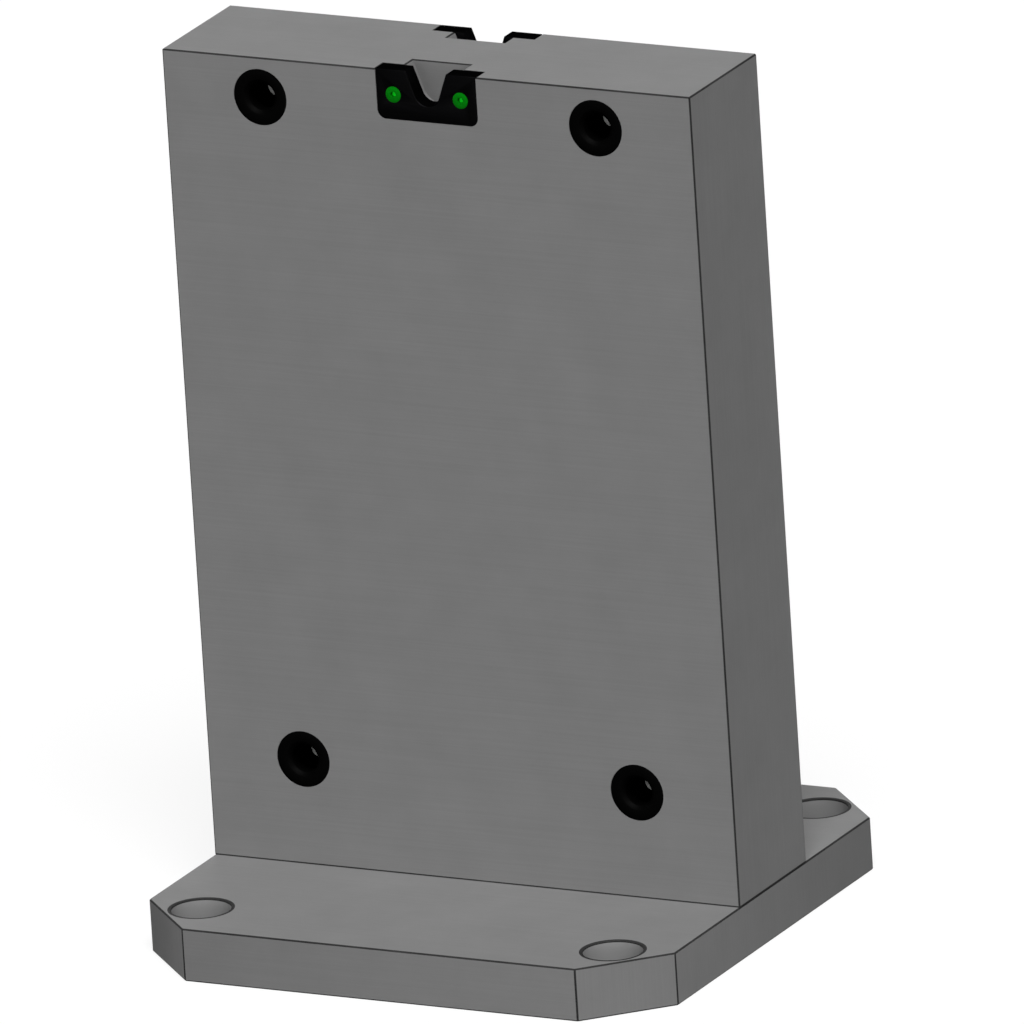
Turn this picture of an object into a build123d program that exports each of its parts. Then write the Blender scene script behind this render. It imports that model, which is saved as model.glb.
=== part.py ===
from build123d import *
import math
import os

# Two-sided fixture column for a 400 mm machine pallet. A solid cast-iron block stands on a
# base plate. Each broad side has four receiver cups for the locking shanks of a quick-change
# fixture plate, and one V bracket at the top edge that the plate's headed stud hangs in.
# Millimetres. The origin is the centre of the base's underside, Z is up and the front
# side faces -Y. Left and right are as seen from the front.

# Base plate
base_width = 400.0
base_depth = 400.0
base_thickness = 37.5
base_corner_chamfer = 50.8

# Holes for the screws that hold the base plate to the machine pallet
pallet_hole_inset = 43.5
pallet_hole_diameter = 26.2
pallet_counterbore_diameter = 41.3
pallet_counterbore_depth = 25.4

# Column block. Its ends are flush with the sides of the base plate.
column_thickness = 101.6
column_height = 576.0

# Receiver cups and where they sit on each side of the column
receiver_diameter = 40.0
receiver_length = 38.0
receiver_pitch_x = 254.0
receiver_row_below_top = 28.2
receiver_row_above_base = 75.3
shank_bore_diameter = 20.0
shank_bore_depth = 22.0
lead_in_width = 2.5
ball_seat_start = 11.0
ball_seat_width = 2.4
shank_end_clearance = 2.5

# V bracket at the top edge of each side
bracket_width = 76.2
bracket_height = 35.3
bracket_thickness = 12.7
bracket_corner_radius = 6.35
stud_neck_radius = 9.525
stud_seat_below_top = 24.0
notch_flank_angle = 20.0
stud_head_overlap = 6.35
stud_head_pocket_depth = 12.7
bracket_screw_inset = 12.7
bracket_screw_below_top = 17.6

# Countersunk screws of the brackets: thread, head with its narrow rim, and hexagon socket
bracket_screw_diameter = 6.0
bracket_screw_head_diameter = 11.4
bracket_screw_head_rim = 0.3
bracket_screw_socket = 4.0
bracket_screw_socket_depth = 2.0
bracket_screw_engagement = 12.3

# Socket cap screws: thread, head and hexagon socket. A head is as high as its thread is wide.
receiver_screw_diameter = 8.0
receiver_screw_head_diameter = 13.0
receiver_screw_socket = 6.0
receiver_screw_tip_gap = 4.2
column_screw_diameter = 16.0
column_screw_head_diameter = 24.0
column_screw_socket = 14.0
column_screw_engagement = 33.9

# Screws and dowels that join the column to its base plate
column_screw_end_inset = 56.0
column_screw_side_inset = 22.8
column_screws_per_row = 3
dowel_diameter = 16.0
dowel_length = 50.0
dowel_engagement = 25.0
dowel_end_inset = 104.0

# Fits and finishing
fit_clearance = 0.05
shank_clearance = 0.5
head_clearance = 0.75
head_depth_clearance = 0.4
face_recess = 0.2
tapped_hole_spare = 6.0
edge_break = 0.8
small_edge_break = 0.5
socket_depth_share = 0.5

# Levels and places that follow from the sizes above
column_width = base_width
column_top = base_thickness + column_height
lower_row = base_thickness + receiver_row_above_base
upper_row = column_top - receiver_row_below_top
receiver_radius = receiver_diameter / 2
receiver_seat_depth = receiver_length + face_recess
receiver_floor = shank_bore_depth + shank_end_clearance + receiver_screw_diameter
bracket_seat_depth = bracket_thickness + face_recess
column_head_seat = column_screw_diameter + head_depth_clearance
stud_seat_level = column_top - stud_seat_below_top + stud_neck_radius
bracket_screw_level = column_top - bracket_screw_below_top
dowel_seat_top = base_thickness + dowel_engagement

SIDES = {"front": -1, "back": 1}
ENDS = {"left": -1, "right": 1}
ROWS = {"upper": upper_row, "lower": lower_row}


def side_plane(side, x=0.0, z=0.0, depth=0.0):
    """A work plane on a broad side of the column, with its Z pointing out of the side."""
    outward = SIDES[side]
    return Plane(
        origin=(x, outward * (column_thickness / 2 - depth), z),
        x_dir=(-outward, 0, 0),
        z_dir=(0, outward, 0),
    )


def hole(diameter, depth):
    """The solid that a drill takes out, from its plane down to a depth."""
    return Cylinder(diameter / 2, depth, align=(Align.CENTER, Align.CENTER, Align.MAX))


def countersink(narrow, wide):
    """The 90 degree cone that a countersink cuts between two diameters, wide at its plane."""
    return Cone(
        narrow / 2,
        wide / 2,
        (wide - narrow) / 2,
        align=(Align.CENTER, Align.CENTER, Align.MAX),
    )


def hexagon_socket(width, depth):
    """The recess for a hexagon key, from its plane down to a depth."""
    return extrude(RegularPolygon(width / 2, 6, major_radius=False), -depth)


def cap_screw(thread, head, socket, length):
    """A socket cap screw with the underside of its head at Z = 0 and its thread below."""
    screw_head = Cylinder(head / 2, thread, align=(Align.CENTER, Align.CENTER, Align.MIN))
    shank = Cylinder(thread / 2, length, align=(Align.CENTER, Align.CENTER, Align.MAX))
    recess = hexagon_socket(socket, thread * socket_depth_share)
    return screw_head + shank - Pos(0, 0, thread) * recess


def screw_hole(thread, engagement):
    """The tapped hole that a screw reaches into, drilled deeper than the screw goes."""
    return hole(thread + 2 * fit_clearance, engagement + tapped_hole_spare)


def copies(piece, planes):
    """Separate copies of a piece that repeats, one on each work plane."""
    return Compound([plane * piece for plane in planes])


# Base plate


def make_base_plate():
    outline = Rectangle(base_width, base_depth)
    outline = chamfer(outline.vertices(), base_corner_chamfer)
    plate = extrude(outline, base_thickness)
    plate = chamfer(plate.edges(), edge_break)
    top = Pos(0, 0, base_thickness)
    pallet_hole = hole(pallet_hole_diameter, base_thickness)
    pallet_hole += hole(pallet_counterbore_diameter, pallet_counterbore_depth)
    pallet_hole += countersink(
        pallet_counterbore_diameter,
        pallet_counterbore_diameter + 2 * small_edge_break,
    )
    plate -= [
        top * place * pallet_hole
        for place in pallet_hole_places()
    ]
    screw_way = hole(column_screw_diameter + 2 * shank_clearance, base_thickness)
    screw_way += hole(column_screw_head_diameter + 2 * head_clearance, column_head_seat)
    for side in SIDES:
        plate -= [plane * screw_way for plane in column_screw_planes(side, 0)]
    dowel_way = hole(dowel_diameter + 2 * fit_clearance, base_thickness)
    plate -= [top * Pos(x) * dowel_way for x in dowel_places().values()]
    return plate


def pallet_hole_places():
    pitch_x = base_width - 2 * pallet_hole_inset
    pitch_y = base_depth - 2 * pallet_hole_inset
    return GridLocations(pitch_x, pitch_y, 2, 2)


# Column block with the seats of its cups and brackets


def make_column_block():
    block = Pos(0, 0, base_thickness) * Box(
        column_width,
        column_thickness,
        column_height,
        align=(Align.CENTER, Align.CENTER, Align.MIN),
    )
    upright_edges = block.edges().filter_by(Axis.Z)
    for side in SIDES:
        cup_seat = hole(receiver_diameter + 2 * fit_clearance, receiver_seat_depth)
        cup_seat += hole(receiver_screw_diameter + 2 * fit_clearance, column_thickness / 2)
        for row in ROWS:
            block -= [plane * cup_seat for plane in receiver_planes(side, row, 0)]
        block -= side_plane(side, 0, column_top) * extrude(
            bracket_outline(fit_clearance), -bracket_seat_depth
        )
        block -= side_plane(side, 0, stud_seat_level) * extrude(
            notch_outline(stud_neck_radius + stud_head_overlap),
            -bracket_seat_depth - stud_head_pocket_depth,
        )
        tapped = screw_hole(bracket_screw_diameter, bracket_screw_engagement)
        block -= [
            side_plane(side, x, bracket_screw_level, bracket_seat_depth) * tapped
            for x in bracket_screw_places().values()
        ]
    block = chamfer(block.faces().sort_by(Axis.Z)[-1].edges() + upright_edges, edge_break)
    tapped = screw_hole(column_screw_diameter, column_screw_engagement)
    for side in SIDES:
        block -= [plane * tapped for plane in column_screw_planes(side, base_thickness)]
    dowel_seat = Pos(0, 0, dowel_seat_top) * hole(dowel_diameter + 2 * fit_clearance, dowel_engagement)
    block -= [Pos(x) * dowel_seat for x in dowel_places().values()]
    return block


# Receiver cups


def receiver_planes(side, row, depth):
    """Work planes on the left and right cup of one row, at a depth under the column's side."""
    return [
        side_plane(side, ENDS[end] * receiver_pitch_x / 2, ROWS[row], depth)
        for end in ENDS
    ]


def make_receiver():
    """One cup, turned about Z with its open face at Z = 0 and its body below.

    The balls of a locking shank spread out under the narrow land and bear on the cone there.
    """
    land = shank_bore_diameter / 2
    room = land + ball_seat_width
    screw_way = receiver_screw_diameter / 2 + shank_clearance
    outline = Polyline(
        (land + lead_in_width, 0),
        (receiver_radius, 0),
        (receiver_radius, -receiver_length),
        (screw_way, -receiver_length),
        (screw_way, -receiver_floor),
        (room, -receiver_floor),
        (room, -ball_seat_start - ball_seat_width),
        (land, -ball_seat_start),
        (land, -lead_in_width),
        close=True,
    )
    return revolve(Plane.XZ * make_face(outline), Axis.Z)


def make_receiver_screw():
    tip = (column_thickness - receiver_screw_tip_gap) / 2
    return cap_screw(
        receiver_screw_diameter,
        receiver_screw_head_diameter,
        receiver_screw_socket,
        tip - face_recess - receiver_floor,
    )


# V brackets


def notch_outline(radius):
    """A round seat about the origin that opens upwards between two straight flanks."""
    angle = math.radians(notch_flank_angle)
    reach = column_top - stud_seat_level + edge_break
    tangent_x = radius * math.cos(angle)
    tangent_y = -radius * math.sin(angle)
    top_x = tangent_x + (reach - tangent_y) * math.tan(angle)
    outline = Wire(
        [
            Line((-top_x, reach), (-tangent_x, tangent_y)),
            ThreePointArc((-tangent_x, tangent_y), (0, -radius), (tangent_x, tangent_y)),
            Line((tangent_x, tangent_y), (top_x, reach)),
            Line((top_x, reach), (-top_x, reach)),
        ]
    )
    return make_face(outline)


def bracket_outline(clearance=0.0):
    """The bracket's outline with its top edge on the X axis, or the seat around it."""
    outline = Rectangle(
        bracket_width + 2 * clearance,
        bracket_height + clearance,
        align=(Align.CENTER, Align.MAX),
    )
    lower_corners = outline.vertices().group_by(Axis.Y)[0]
    return fillet(lower_corners, bracket_corner_radius + clearance)


def bracket_screw_places():
    return {end: ENDS[end] * (bracket_width / 2 - bracket_screw_inset) for end in ENDS}


def make_bracket():
    """One bracket, with its outer face at Z = 0 and the column's top edge on the X axis."""
    bracket = extrude(bracket_outline(), -bracket_thickness)
    seat = Pos(0, stud_seat_level - column_top)
    bracket -= seat * extrude(notch_outline(stud_neck_radius), -bracket_thickness)
    way_diameter = bracket_screw_diameter + 2 * shank_clearance
    seat_diameter = bracket_screw_head_diameter + 2 * fit_clearance
    screw_way = hole(way_diameter, bracket_thickness)
    screw_way += hole(seat_diameter, bracket_screw_head_rim)
    screw_way += Pos(0, 0, -bracket_screw_head_rim) * countersink(way_diameter, seat_diameter)
    bracket -= [
        Pos(x, bracket_screw_level - column_top) * screw_way
        for x in bracket_screw_places().values()
    ]
    outer_face = bracket.faces().sort_by(Axis.Z)[-1]
    return chamfer(outer_face.outer_wire().edges(), small_edge_break)


def make_bracket_screw():
    """One countersunk screw, turned about Z with the top of its head at Z = 0."""
    head = bracket_screw_head_diameter / 2
    thread = bracket_screw_diameter / 2
    length = bracket_thickness + bracket_screw_engagement
    outline = Polyline(
        (0, 0),
        (head, 0),
        (head, -bracket_screw_head_rim),
        (thread, thread - head - bracket_screw_head_rim),
        (thread, -length),
        (0, -length),
        close=True,
    )
    screw = revolve(Plane.XZ * make_face(outline), Axis.Z)
    return screw - hexagon_socket(bracket_screw_socket, bracket_screw_socket_depth)


# Screws and dowels between the column and its base


def column_screw_planes(side, level):
    """Work planes on one row of column screws, facing down at a level."""
    first_x = column_screw_end_inset - column_width / 2
    pitch = (column_width - 2 * column_screw_end_inset) / (column_screws_per_row - 1)
    row_y = SIDES[side] * (column_thickness / 2 - column_screw_side_inset)
    return [
        Plane(origin=(first_x + number * pitch, row_y, level), z_dir=(0, 0, -1))
        for number in range(column_screws_per_row)
    ]


def dowel_places():
    return {end: ENDS[end] * (column_width / 2 - dowel_end_inset) for end in ENDS}


def make_column_screw():
    return cap_screw(
        column_screw_diameter,
        column_screw_head_diameter,
        column_screw_socket,
        base_thickness - column_head_seat + column_screw_engagement,
    )


def make_dowel():
    """One dowel, standing up from its underside at Z = 0."""
    return Cylinder(dowel_diameter / 2, dowel_length, align=(Align.CENTER, Align.CENTER, Align.MIN))


# All pieces in their places


def assemble():
    pieces = {"base_plate": make_base_plate(), "column_block": make_column_block()}
    receiver = make_receiver()
    receiver_screw = make_receiver_screw()
    bracket = make_bracket()
    bracket_screw = make_bracket_screw()
    column_screw = make_column_screw()
    for side in SIDES:
        for row in ROWS:
            cup_faces = receiver_planes(side, row, face_recess)
            cup_floors = receiver_planes(side, row, face_recess + receiver_floor)
            pieces[f"{side}_{row}_receivers"] = copies(receiver, cup_faces)
            pieces[f"{side}_{row}_receiver_screws"] = copies(receiver_screw, cup_floors)
        pieces[f"{side}_v_bracket"] = side_plane(side, 0, column_top, face_recess) * bracket
        for end, x in bracket_screw_places().items():
            head_top = side_plane(side, x, bracket_screw_level, face_recess)
            pieces[f"{side}_{end}_bracket_screw"] = head_top * bracket_screw
        head_seats = column_screw_planes(side, column_head_seat)
        pieces[f"{side}_column_screws"] = copies(column_screw, head_seats)
    dowel = make_dowel()
    for end, x in dowel_places().items():
        pieces[f"{end}_dowel"] = Pos(x, 0, dowel_seat_top - dowel_length) * dowel
    return pieces


os.makedirs("parts", exist_ok=True)
for name, piece in assemble().items():
    piece.label = name
    export_step(piece, f"parts/{name}.step")
    print(name, len(piece.solids()), round(piece.volume))
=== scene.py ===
import math

import bmesh
import bpy
from mathutils import Matrix, Vector


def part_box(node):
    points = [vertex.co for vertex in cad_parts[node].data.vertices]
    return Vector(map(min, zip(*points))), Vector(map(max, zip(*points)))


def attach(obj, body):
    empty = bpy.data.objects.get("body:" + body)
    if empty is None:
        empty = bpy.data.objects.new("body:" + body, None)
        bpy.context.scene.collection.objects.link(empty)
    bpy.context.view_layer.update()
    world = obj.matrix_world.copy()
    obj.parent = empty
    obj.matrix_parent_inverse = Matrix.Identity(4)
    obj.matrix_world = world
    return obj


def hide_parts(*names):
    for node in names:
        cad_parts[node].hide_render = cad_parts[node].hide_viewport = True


# %% [markdown]
# The object is a fixture column from a machine shop. A thick block of cast iron stands on a
# square base plate. Each broad side has four round steel cups that hold a fixture plate, and
# one black bracket with a V notch that the plate hangs in while it is fitted. The solids come
# from the CAD part. This lesson gives them their finishes and fine edges, and models the
# screws anew, because the CAD part has them as plain turned shapes.

# %% Load the solids
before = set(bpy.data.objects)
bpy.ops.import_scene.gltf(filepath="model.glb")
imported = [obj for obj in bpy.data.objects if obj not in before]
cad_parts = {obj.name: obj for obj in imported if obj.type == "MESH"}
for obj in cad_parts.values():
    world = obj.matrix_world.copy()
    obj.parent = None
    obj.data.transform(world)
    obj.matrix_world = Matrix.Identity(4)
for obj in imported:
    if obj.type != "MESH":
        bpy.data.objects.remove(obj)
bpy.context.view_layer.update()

# %% [markdown]
# The sizes below are read off the solids where a box shows them. The few that a box can't show,
# such as the diameter of one cup of a pair, are written in millimetres. Cups, brackets and
# bracket screws lie a fifth of a millimetre below the broad sides, so that none stands proud.

# %% Sizes
MM = 0.001
OUTWARD = {"front": Vector((0, -1, 0)), "back": Vector((0, 1, 0))}
LEFT_AND_RIGHT = ("left", "right")
FACE_RECESS = 0.2 * MM

block_low, block_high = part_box("column_block")
base_low, base_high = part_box("base_plate")
CUP_DIAMETER = 40 * MM
row_heights = {}
for row in ("upper", "lower"):
    low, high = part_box(f"front_{row}_receivers")
    row_heights[row] = (low.z + high.z) / 2
cup_column_x = high.x - CUP_DIAMETER / 2
print("cups stand at x", cup_column_x, "and at the heights", row_heights)

# %% [markdown]
# One helper adds a node, sets its own properties and fills or links its inputs. A value that is
# a socket is linked, and anything else is written on the input. Every material and the Geometry
# Nodes tree below are built with it.

# %% Adding a node


def add(tree, kind, inputs=None, **settings):
    """Adds a node. Inputs are given by name or number, and settings are the node's own."""
    node = tree.nodes.new(kind)
    for name, value in settings.items():
        setattr(node, name, value)
    for key, value in (inputs or {}).items():
        if isinstance(value, bpy.types.NodeSocket):
            tree.links.new(value, node.inputs[key])
        else:
            node.inputs[key].default_value = value
    return node


print("working in Blender", bpy.app.version_string)

# %% [markdown]
# Colours are written as the hex codes of a picture editor, and a function turns them to the
# linear light that Blender computes with. A second function starts a material that holds only
# a Principled shader, which stands for most real surfaces, and its output.

# %% Colours and empty materials


def linear(hex_code):
    """An sRGB hex colour such as 7A7A7A as linear red, green, blue and alpha."""
    channels = []
    for start in (0, 2, 4):
        value = int(hex_code[start:start + 2], 16) / 255
        if value <= 0.04045:
            channels.append(value / 12.92)
        else:
            channels.append(((value + 0.055) / 1.055) ** 2.4)
    return (*channels, 1.0)


def new_material(name, metallic, specular=0.5):
    """An empty material with its shader and its output, as (material, tree, shader)."""
    material = bpy.data.materials.new(name)
    material.use_nodes = True
    tree = material.node_tree
    tree.nodes.clear()
    shader = add(tree, "ShaderNodeBsdfPrincipled", {"Metallic": metallic,
                                                    "Specular IOR Level": specular})
    add(tree, "ShaderNodeOutputMaterial", {"Surface": shader.outputs[0]})
    return material, tree, shader


print("a mid grey of 808080 is", round(linear("808080")[0], 4), "in linear light")

# %% [markdown]
# The photograph is a parallel view from the right and a little above, and it leans to the left
# by a few degrees. A very long lens far away gives almost the same picture, and unlike an
# orthographic camera it also frames the other views well. The camera is built from three
# directions, which are its own right, up and backwards. The aim says how far the middle of the
# picture lies to the right of the origin and above it.

# %% Camera
VIEW_AZIMUTH = math.radians(27.80)
VIEW_ELEVATION = math.radians(17.91)
VIEW_LEAN = math.radians(-3.64)
AIM_RIGHT = -1.00 * MM
AIM_UP = 270.95 * MM
CAMERA_DISTANCE = 29.034
CAMERA_LENS = 1500
SENSOR_WIDTH = 36
CLIP_END = 100

towards_camera = Vector((
    math.sin(VIEW_AZIMUTH) * math.cos(VIEW_ELEVATION),
    -math.cos(VIEW_AZIMUTH) * math.cos(VIEW_ELEVATION),
    math.sin(VIEW_ELEVATION),
))
level_right = Vector((math.cos(VIEW_AZIMUTH), math.sin(VIEW_AZIMUTH), 0))
level_up = towards_camera.cross(level_right)
camera_right = math.cos(VIEW_LEAN) * level_right + math.sin(VIEW_LEAN) * level_up
camera_up = math.cos(VIEW_LEAN) * level_up - math.sin(VIEW_LEAN) * level_right

camera_data = bpy.data.cameras.new("camera")
camera_data.sensor_width = SENSOR_WIDTH
camera_data.lens = CAMERA_LENS
camera_data.clip_end = CLIP_END
camera = bpy.data.objects.new("camera", camera_data)
bpy.context.scene.collection.objects.link(camera)
turn = Matrix((camera_right, camera_up, towards_camera)).transposed()
place = camera_right * AIM_RIGHT + camera_up * AIM_UP + towards_camera * CAMERA_DISTANCE
camera.matrix_world = Matrix.Translation(place) @ turn.to_4x4()
bpy.context.scene.camera = camera
print("camera at", [round(value, 3) for value in place])

# %% [markdown]
# Three soft lamps light the object. The key lamp hangs high, a little in front and to the
# right, so that the tops are lightest and the right side is darker than the front. A level
# lamp in front shines into the cups, and another lights the back. The back lamp would glare on
# the top, which the camera sees at a low angle, so it is left out of reflections. They are sun
# lamps, whose light is equally strong everywhere, so the grey of each face can be worked out.
# Each is written as a direction whose length is the light it gives to a face that looks
# straight at it.

# %% Lamps
LAMPS = {
    "key_lamp": Vector((0.318, -0.475, 1.012)),
    "front_lamp": Vector((0.0, -0.100, 0.005)),
    "back_lamp": Vector((-0.200, 0.480, 0.025)),
}
LAMP_ANGLE = math.radians(25)
for name, direction in LAMPS.items():
    lamp_data = bpy.data.lights.new(name, "SUN")
    lamp_data.energy = math.pi * direction.length
    lamp_data.angle = LAMP_ANGLE
    lamp = bpy.data.objects.new(name, lamp_data)
    lamp.visible_glossy = name != "back_lamp"
    lamp.rotation_euler = direction.to_track_quat("Z", "Y").to_euler()
    bpy.context.scene.collection.objects.link(lamp)
    print(name, "gives", round(lamp_data.energy, 2), "watts per square metre")

# %% [markdown]
# The room glows along its horizon and is dark overhead, like a ring of tall soft boxes. Upright
# faces get most of that light, so the tops stay even from the column down to the base. The room
# looks white to the camera only, which the Light Path node tells apart. The standard view
# transform shows colours as they are, without the softer contrast that Blender starts with.

# %% Room
HORIZON_GLOW = 1.7
GLOW_HEIGHT = 0.5

room = bpy.data.worlds.new("pale_room")
room.use_nodes = True
tree = room.node_tree
tree.nodes.clear()
seen = add(tree, "ShaderNodeLightPath").outputs["Is Camera Ray"]
direction = add(tree, "ShaderNodeTexCoord").outputs["Generated"]
height = add(tree, "ShaderNodeSeparateXYZ", {0: direction}).outputs["Z"]
above = add(tree, "ShaderNodeMath", {0: height, 1: 0.0}, operation="GREATER_THAN").outputs[0]
fading = add(tree, "ShaderNodeMapRange", {
    "Value": height,
    "From Max": GLOW_HEIGHT,
    "To Min": HORIZON_GLOW,
    "To Max": 0.0,
}).outputs[0]
glow = add(tree, "ShaderNodeMath", {0: above, 1: fading}, operation="MULTIPLY").outputs[0]
lighting = add(tree, "ShaderNodeBackground", {"Color": (1, 1, 1, 1), "Strength": glow})
backdrop = add(tree, "ShaderNodeBackground", {"Color": (1, 1, 1, 1), "Strength": 1.0})
mixed = add(tree, "ShaderNodeMixShader", {0: seen, 1: lighting.outputs[0], 2: backdrop.outputs[0]})
add(tree, "ShaderNodeOutputWorld", {"Surface": mixed.outputs[0]})
bpy.context.scene.world = room
bpy.context.scene.view_settings.view_transform = "Standard"
print("the room glows up to a sine of", GLOW_HEIGHT, "above its horizon")

# %% [markdown]
# The floor is a sheet of white paper. Seen straight by the camera it is mostly a glow, so that
# it blends into the white room and keeps only a hint of the object's shadow. Other rays meet
# dull paper, so that little light comes back up from the floor. It lies a hair below the base,
# because two faces in one plane would flicker.

# %% Floor
FLOOR_SIZE = 14.0
FLOOR_GAP = 0.1 * MM
FLOOR_GLOW = 1.06
FLOOR_GLOW_SHARE = 0.8

floor_material = bpy.data.materials.new("white_paper_floor")
floor_material.use_nodes = True
tree = floor_material.node_tree
tree.nodes.clear()
seen = add(tree, "ShaderNodeLightPath").outputs["Is Camera Ray"]
paper = add(tree, "ShaderNodeBsdfDiffuse", {"Color": linear("D8D8D8")})
glow = add(tree, "ShaderNodeEmission", {"Color": (1, 1, 1, 1), "Strength": FLOOR_GLOW})
bright = add(tree, "ShaderNodeMixShader",
             {0: FLOOR_GLOW_SHARE, 1: paper.outputs[0], 2: glow.outputs[0]})
dull = add(tree, "ShaderNodeBsdfDiffuse", {"Color": linear("606060")})
floor_look = add(tree, "ShaderNodeMixShader", {0: seen, 1: dull.outputs[0], 2: bright.outputs[0]})
add(tree, "ShaderNodeOutputMaterial", {"Surface": floor_look.outputs[0]})

floor_mesh = bpy.data.meshes.new("floor")
reach = FLOOR_SIZE / 2
corners = [(-reach, -reach), (reach, -reach), (reach, reach), (-reach, reach)]
floor_mesh.from_pydata([(x, y, -FLOOR_GAP) for x, y in corners], [], [(0, 1, 2, 3)])
floor_mesh.materials.append(floor_material)
floor = bpy.data.objects.new("floor", floor_mesh)
bpy.context.scene.collection.objects.link(floor)
print("floor of", FLOOR_SIZE, "m")

# %% [markdown]
# The column, its base and the brackets have the right shape already, but a CAD node is loose
# triangles, so light breaks at every facet of a round hole. A merged copy can be shaded smooth
# across shallow angles and stay sharp at real edges. Modelling them again would only repeat the
# CAD work, so the copy stands in for its node.

# %% Merged copies of the solids
MERGE_DISTANCE = 0.002 * MM


def merged_copy(node_name):
    """A bmesh of a CAD node with its loose triangles joined and its flat normals dropped."""
    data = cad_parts[node_name].data.copy()
    data.attributes.remove(data.attributes["custom_normal"])
    mesh = bmesh.new()
    mesh.from_mesh(data)
    bpy.data.meshes.remove(data)
    bmesh.ops.remove_doubles(mesh, verts=mesh.verts, dist=MERGE_DISTANCE)
    return mesh


def to_piece(mesh, name):
    """A linked object made of a bmesh."""
    data = bpy.data.meshes.new(name)
    mesh.to_mesh(data)
    mesh.free()
    piece = bpy.data.objects.new(name, data)
    bpy.context.scene.collection.objects.link(piece)
    return piece


print("copies are merged within", MERGE_DISTANCE / MM, "mm")

# %% [markdown]
# Every finished piece is handed over in the same way. It gets its material and its shading,
# which stays sharp at edges steeper than 30 degrees. It rides on the body root, because the
# column has no moving part. The CAD nodes that it stands for are then not shown.

# %% Handing a piece over
SHARP_ANGLE = math.radians(30)


def hand_over(piece, material, replaced):
    """Gives a finished piece its shading, material, body, slot and the nodes it stands for."""
    data = piece.data
    data.materials.clear()
    data.materials.append(material)
    data.shade_smooth()
    data.set_sharp_from_angle(angle=SHARP_ANGLE)
    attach(piece, "root")
    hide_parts(*replaced)
    print(piece.name, "has", len(data.polygons), "faces and stands for", *replaced)


print("edges are sharp from", round(math.degrees(SHARP_ANGLE)), "degrees")

# %% [markdown]
# The triangles of a flat CAD face lie in one plane. A search that starts at one triangle and
# walks over its edges, as long as the next one looks the same way, finds them all again. The
# marks below need those flat patches.

# %% Flat patches
FLAT_ANGLE = math.radians(1)


def flat_patches(mesh):
    """Lists of faces that touch each other and lie in one plane."""
    left = set(mesh.faces)
    patches = []
    while left:
        patch = [left.pop()]
        for face in patch:
            for edge in face.edges:
                for other in edge.link_faces:
                    if other in left and other.normal.angle(face.normal, math.pi) < FLAT_ANGLE:
                        left.remove(other)
                        patch.append(other)
        patches.append(patch)
    return patches


print("a patch turns by less than", round(math.degrees(FLAT_ANGLE)), "degree from face to face")

# %% [markdown]
# A machined block has every sharp edge broken by a narrow chamfer. The iron's material colours
# the chamfer dark, so it reads as a thin dark line round each face. The code below finds those
# faces by their shape: a flat patch that is long and under 1.6 mm wide, with a real edge along
# both of its long sides. It writes a 1 on them, which the iron's material reads. The small
# facets of a round hole are narrow too, but their long sides are shallow.

# %% Marks on broken edges
STRIP_WIDTH = 1.6 * MM
LONG_SHARE = 0.6
REAL_EDGE_ANGLE = math.radians(20)


def is_broken_edge(patch):
    """Whether a flat patch is a narrow strip between two real edges."""
    places = [corner.co for face in patch for corner in face.verts]
    low = Vector([min(place[axis] for place in places) for axis in range(3)])
    high = Vector([max(place[axis] for place in places) for axis in range(3)])
    extent = (high - low).length
    if sum(face.calc_area() for face in patch) > STRIP_WIDTH * extent:
        return False
    members = set(patch)
    for face in patch:
        for edge in face.edges:
            outside = not members.issuperset(edge.link_faces)
            if outside and edge.calc_length() > LONG_SHARE * extent:
                if edge.calc_face_angle(math.pi) < REAL_EDGE_ANGLE:
                    return False
    return True


def mark_broken_edges(mesh):
    """Writes the attribute broken_edge on the faces of every narrow strip."""
    mark = mesh.faces.layers.float.new("broken_edge")
    strips = [patch for patch in flat_patches(mesh) if is_broken_edge(patch)]
    for patch in strips:
        for face in patch:
            face[mark] = 1.0
    print(len(strips), "narrow strips are marked")


print("a strip is at most", round(STRIP_WIDTH / MM, 1), "mm wide")

# %% [markdown]
# The block and the base are grey cast iron, milled and then ground flat. Grinding leaves fine
# parallel scratches, which are a noise stretched along the table's travel: across on the broad
# faces and upwards on the ends. The real ones are a few hundredths of a millimetre apart, too
# fine to show, so they are drawn about a millimetre apart here. The graphite in the iron makes
# the grey a little cloudy, which is a second and much larger noise. Unlike a photograph of
# iron, noise has no seams and needs no file.

# %% Scratches and clouds
SCRATCH_PITCH = 1.4 * MM
SCRATCH_LENGTH = 160 * MM
SCRATCHES_ACROSS = (1 / SCRATCH_LENGTH, 1 / SCRATCH_PITCH, 1 / SCRATCH_PITCH)
SCRATCHES_UPRIGHT = (1 / SCRATCH_PITCH, 1 / SCRATCH_PITCH, 1 / SCRATCH_LENGTH)
CLOUD_SIZE = 45 * MM
CLOUD_SHARE = 0.45


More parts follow.
